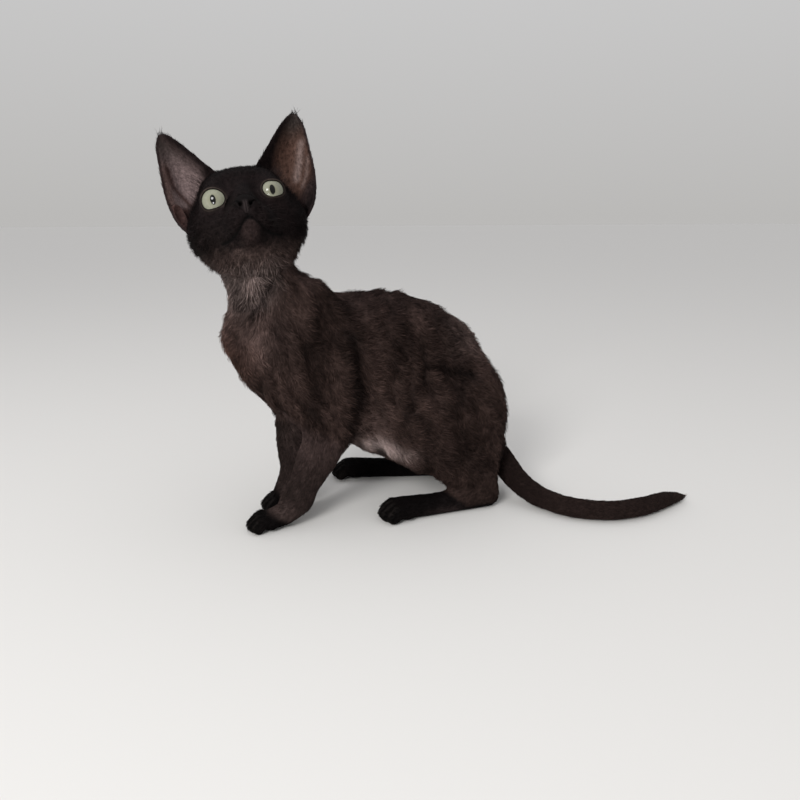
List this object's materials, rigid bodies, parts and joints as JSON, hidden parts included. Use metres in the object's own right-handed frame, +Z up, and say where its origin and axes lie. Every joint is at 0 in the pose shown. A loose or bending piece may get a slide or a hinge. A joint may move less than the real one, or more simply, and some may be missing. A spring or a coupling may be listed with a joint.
{
  "type": "devon rex cat",
  "caption": "Devon rex kitten, smoke black, squatting with its head raised and turned, a life-size still model.",
  "frame": {"origin": "middle of the bounding box on the floor plane", "axes": "the trunk faces -X and the tail lies towards +X; +Y is the kitten's right side; +Z is up"},
  "size_m": [0.2958, 0.1384, 0.2252],
  "materials": {
    "coat": "short soft fur, brownish smoke",
    "dark_coat": "short soft fur, black",
    "ear_skin": "thin skin with sparse down",
    "nose_skin": "pebbled, satin",
    "eye": "wet and clear over a pale yellow-green iris"
  },
  "bodies": {
    "root": {"neck": "coat", "chest": "coat", "belly": "coat", "rump": "coat", "upper_foreleg_left": "coat", "thigh_left": "coat", "lower_hind_leg_left": "coat", "upper_foreleg_right": "coat", "thigh_right": "coat", "lower_hind_leg_right": "coat", "forearm_left": "coat", "forepaw_left": "dark_coat", "hind_foot_left": "dark_coat", "forearm_right": "coat", "forepaw_right": "dark_coat", "hind_foot_right": "dark_coat", "tail_root": "dark_coat", "tail_middle": "dark_coat", "tail_tip": "dark_coat", "ear_left": "ear_skin", "ear_right": "ear_skin", "eye_left": "eye", "eye_right": "eye", "nose": "nose_skin", "lower_jaw": "coat", "head": "coat"}
  },
  "joints": []
}
